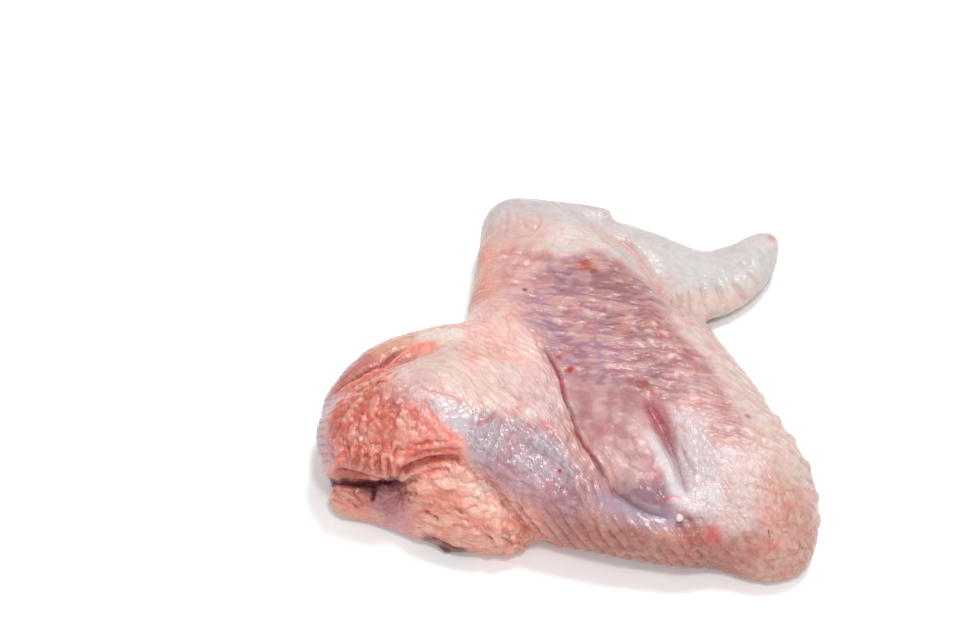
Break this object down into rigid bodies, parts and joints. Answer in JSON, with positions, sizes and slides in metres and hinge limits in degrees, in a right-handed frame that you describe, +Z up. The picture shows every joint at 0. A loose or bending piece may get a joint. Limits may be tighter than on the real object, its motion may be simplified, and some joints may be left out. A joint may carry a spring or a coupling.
{
  "type": "raw turkey wing",
  "caption": "Whole raw turkey wing, folded in a Z and lying on its inner side: meaty upper arm with a cut shoulder, broad forearm, small blunt hand, moist pale pink skin.",
  "frame": {"origin": "middle of the bounding box, at the level of the surface the wing lies on", "axes": "+X from the cut shoulder towards the elbow, +Y from the upper arm towards the wrist, +Z up"},
  "size_m": [0.1828, 0.1746, 0.0525],
  "materials": {
    "raw_skin": "moist satin raw poultry skin"
  },
  "bodies": {
    "root": {"turkey_wing": "raw_skin"}
  },
  "joints": []
}
